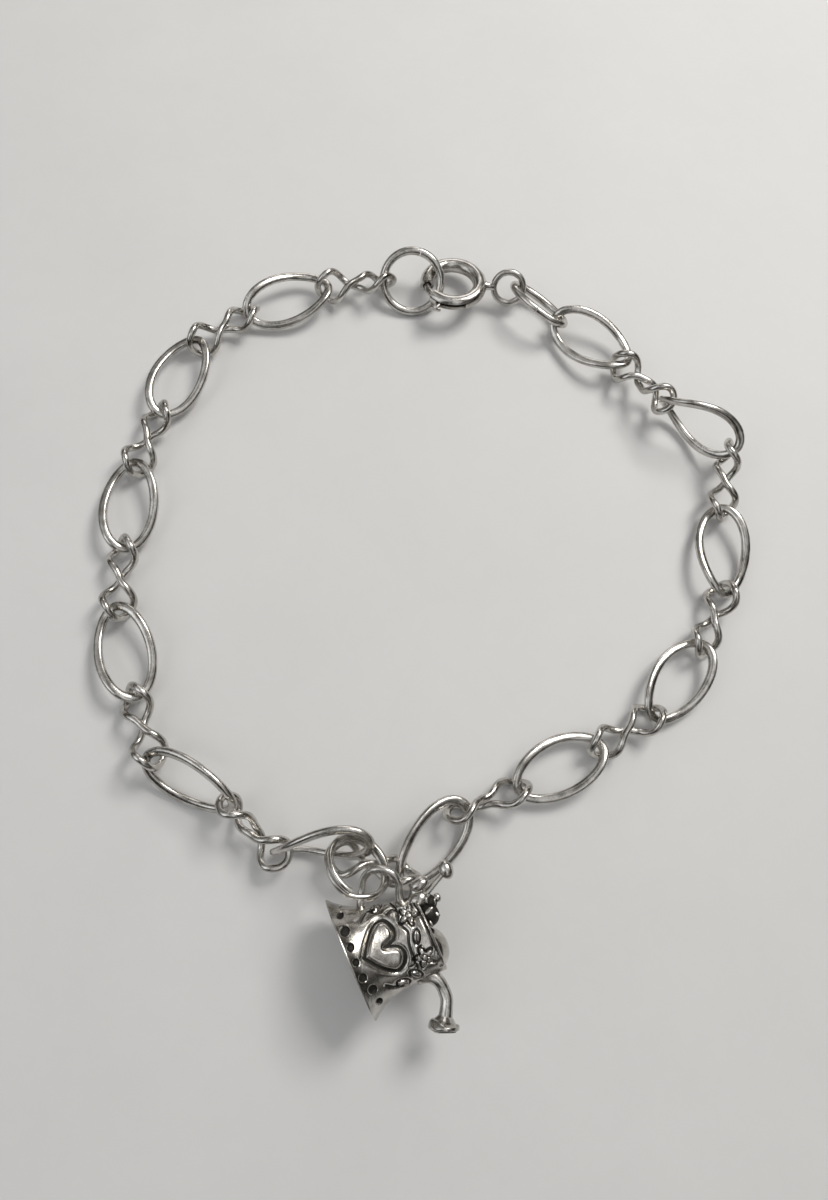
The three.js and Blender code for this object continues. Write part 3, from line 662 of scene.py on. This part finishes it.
LEAVES = [(3.42, 2.75, 0.25), (3.08, -3.1, -0.35), (5.35, -0.45, 1.2), (4.2, -2.95, -0.7)]
DOTS = [
    (0.94, 4.0, 0.15), (0.7, 3.41, 0.27), (0.62, 2.26, 0.36), (0.56, 1.06, 0.28), (0.5, -0.06, 0.26),
    (0.53, -1.27, 0.3), (0.83, -2.38, 0.33), (0.91, -3.42, 0.24), (0.98, -4.44, 0.17),
]


def size_at(x, base, rim):
    end = math.exp(-CAN_LENGTH / CAN_FLARE)
    return rim + (base - rim) * (np.exp(-x / CAN_FLARE) - end) / (1 - end)


def distance(p, line):
    """How far each point of p is from a line of points."""
    a, b = line[:-1], line[1:]
    along = np.clip(((p[:, None] - a) * (b - a)).sum(2) / ((b - a) ** 2).sum(1), 0, 1)
    return np.linalg.norm(p[:, None] - a - along[..., None] * (b - a), axis=2).min(axis=1)


def inside(p, line):
    a, b = line, np.roll(line, -1, axis=0)
    crosses = (a[:, 1] > p[:, 1:]) != (b[:, 1] > p[:, 1:])
    with np.errstate(divide="ignore", invalid="ignore"):
        x = a[:, 0] + (p[:, 1:] - a[:, 1]) * (b[:, 0] - a[:, 0]) / (b[:, 1] - a[:, 1])
    return (crosses & (p[:, :1] < x)).sum(axis=1) % 2 == 1


def ease(x):
    x = np.clip(x, 0, 1)
    return x * x * (3 - 2 * x)


def relief(x, y):
    """Height and darkness of the upper face's ornament at places x, y."""
    p = np.stack([x.ravel(), y.ravel()], axis=1)
    height, dark = np.zeros(len(p)), np.zeros(len(p))

    def groove(away, wide, deep):
        nonlocal height, dark
        height -= deep * np.exp(-((away / wide) ** 2))
        dark = np.maximum(dark, 1 - away / wide)

    upper, lower = (spline(np.array(lobe, float), 8) for lobe in (UPPER_LOBE, LOWER_LOBE))
    heart = np.concatenate([upper, lower[1:-1]])
    edge = distance(p, np.concatenate([heart, heart[:1]]))
    height += RELIEF * np.where(inside(p, heart), ease(edge / 0.5), 0)
    groove(edge, 0.2, 0.2)
    for line in (VINE, RIM_LINE, *SCROLLS):
        groove(distance(p, spline(np.array(line, float), 6)), 0.12, 0.1)
    for fx, fy, turn in FLOWERS:
        dx, dy = p[:, 0] - fx, p[:, 1] - fy
        out, angle = np.hypot(dx, dy), np.arctan2(dy, dx) + turn
        petal = 0.62 + 0.2 * np.cos(5 * angle)
        height += np.where(out < petal, RELIEF * ease((petal - out) / 0.2), 0)
        groove(np.abs(out - petal), 0.12, 0.14)
        groove(np.abs(out - 0.22), 0.06, 0.08)
        split = np.abs(np.sin(2.5 * angle)) * out
        groove(np.where((out > 0.25) & (out < petal) & (np.cos(5 * angle) < 0), split, 1.0), 0.05, 0.07)
    for lx, ly, turn in LEAVES:
        dx, dy = p[:, 0] - lx, p[:, 1] - ly
        u = dx * math.cos(turn) + dy * math.sin(turn)
        v = dy * math.cos(turn) - dx * math.sin(turn)
        away = (np.hypot(u / 0.55, v / 0.27) - 1) * 0.3
        height += np.where(away < 0, RELIEF * 0.8 * ease(-away / 0.12), 0)
        groove(np.abs(away), 0.08, 0.1)
        groove(np.where(away < 0, np.abs(v), 1.0), 0.04, 0.06)
    for dx, dy, r in DOTS:
        out = np.hypot(p[:, 0] - dx, p[:, 1] - dy)
        height -= 0.24 * ease((r - out) / 0.12 + 0.3)
        dark = np.maximum(dark, np.where(out < r, 1.0, 0.0))
    return height.reshape(x.shape), dark.reshape(x.shape)


AROUND, ALONG = (380, 165) if FINE else (200, 70)
turn = TAU * np.arange(AROUND) / AROUND
profile = [(CAN_RECESS, 4.2), (CAN_RECESS, 2.0), (CAN_RECESS, CAN_EDGE + 0.16), (CAN_RECESS - 0.05, CAN_EDGE + 0.06)]
profile += [(0.06, CAN_EDGE), (0.0, CAN_EDGE - 0.07), (0.0, CAN_ROUNDING)]
profile += [(CAN_ROUNDING * (1 - math.cos(a)), CAN_ROUNDING * (1 - math.sin(a))) for a in np.linspace(0.2, 1.5, 6)]
walls = [(x, 0.0) for x in np.linspace(CAN_ROUNDING, CAN_LENGTH - CAN_ROUNDING, ALONG)]
profile += walls + [
    (CAN_LENGTH - CAN_ROUNDING * (1 - math.sin(a)), CAN_ROUNDING * (1 - math.cos(a)))
    for a in np.linspace(0.2, 1.5, 6)
]
profile += [(CAN_LENGTH, 0.3), (CAN_LENGTH - 0.3, 0.4), (CAN_LENGTH - 0.35, 1.5)]
x, inset = (np.array(column)[:, None] for column in zip(*profile))
wide, deep = size_at(x, BASE_WIDE, RIM_WIDE) / 2 - inset, size_at(x, BASE_DEEP, RIM_DEEP) / 2 - inset
wide, deep = np.maximum(wide, 0.4), np.maximum(deep, 0.3)
y, z = wide * np.cos(turn) - CAN_LEAN * x, deep * np.sin(turn)
rings = np.stack([x + 0 * y, y, z], axis=2)
outward = unit(np.stack([0 * y, np.cos(turn) / wide, np.sin(turn) / deep], axis=2))
height, dark = relief(rings[..., 0], rings[..., 1])
face_up = ease((np.sin(turn)[None] - 0.02) / 0.12) * (np.abs(inset) < 1e-9)
rings += outward * (height * face_up)[..., None]
can = Piece().skin(rings, dark=(dark * face_up) > 0.42)


def beside(x, side, out, up):
    return (x, side * (float(size_at(x, BASE_WIDE, RIM_WIDE)) / 2 + out) - CAN_LEAN * x, up)


arch = [
    (0, -0.14, -0.4), (0.08, 0.15, -0.45), (0.21, 0.52, -0.3), (0.34, 0.82, 0.1), (0.54, 1, 0.7),
    (0.76, 0.99, 1), (0.96, 0.78, 1), (1, 0.49, 0.75), (0.93, 0.21, 0.35), (0.85, -0.15, 0),
]
can.rod(
    [beside(HANDLE_START + a * HANDLE_LENGTH, 1, o * HANDLE_REACH, u * HANDLE_LIFT) for a, o, u in arch],
    [HANDLE_WIRE * w for w in (1.3, 1.12, 1, 1, 1.02, 1.04, 1, 1, 1.1, 1.3)],
)


def spout_rod(shares, diameter, **more):
    can.rod(
        [beside(SPOUT_START + b * SPOUT_BOW, -1, o * SPOUT_REACH, 0) for b, o, _ in shares],
        [share * diameter for *_, share in shares], 32, **more,
    )


neck = [(0, -0.12, 1.7), (0.68, 0.015, 1.2), (1, 0.19, 1), (1, 0.45, 1), (0.73, 0.62, 1), (0.41, 0.76, 1.1)]
spout_rod(neck, SPOUT_DIAMETER)
rose = [
    (0.45, 0.74, 0.42), (0.25, 0.82, 0.72), (0.1, 0.87, 0.96), (0.03, 0.905, 1.03), (-0.05, 0.945, 0.98),
    (-0.07, 0.955, 0.84),
]
spout_rod(rose, ROSE_DIAMETER)
spout_rod([(0, 0.92, 0.86), (-0.1, 0.968, 0.84)], ROSE_DIAMETER, dark=True)
spout_rod([(0, 0.92, 0.74), (-0.1, 0.972, 0.74), (-0.135, 0.992, 0.55), (-0.145, 1.0, 0.2)], ROSE_DIAMETER)

blobs = [
    (-0.45, -1.95, 0, 1.3, 1.6, RIM_DEEP * 0.44), (0.35, 0.4, 0.2, 0.85, 0.9, 1.3), (0.85, 1.2, 0.2, 0.55, 0.6, 0.8),
    (0.15, 1.8, 0.3, 0.95, 0.8, 0.9), (0.25, 2.4, 0.5, 0.6, 0.6, 0.5), (0.65, 2.8, 1.0, 0.78, 0.54, 0.5),
    (3.0, 2.95, 1.0, 0.56, 0.78, 0.55), (1.5, 1.3, 0.6, 0.3, 0.36, 0.34),
]
for at, (bx, by, bz, rx, ry, rz) in enumerate(blobs):
    can.lump((CAN_LENGTH + bx, by, bz), (rx, ry, rz), dark=at in (1, 2), sides=64)
# Small leaves lie on the dark posy: place, length and direction
leaves = [
    (0.45, 0.75, 1.42, 0.42, 0.3), (0.85, 0.3, 1.1, 0.4, -0.8), (1.1, 1.1, 0.75, 0.36, 0.9),
    (0.6, 1.55, 0.95, 0.36, 1.6), (0.2, -0.15, 1.3, 0.32, -1.5),
]
for bx, by, bz, long_, turn_ in leaves:
    can.lump((CAN_LENGTH + bx, by, bz), (long_, long_ * 0.42, 0.12), turn=turn_, sides=24)
long_stalk = [(0.25, 1.7, 0.5), (1.55, 2.25, 0.7), (2.9, 2.85, 1.0)]
can.rod([(CAN_LENGTH + a, b, c) for a, b, c in long_stalk], [0.55, 0.45, 0.4])
can.rod([(CAN_LENGTH + a, b, c) for a, b, c in [(0.15, 1.2, 0.3), (1.45, 1.3, 0.6)]], [0.4, 0.3])
can.build("silver_watering_can", placed(*CHARM_PLACE), "bracelet", "watering_can_charm")
print("charm faces", len(can.faces))
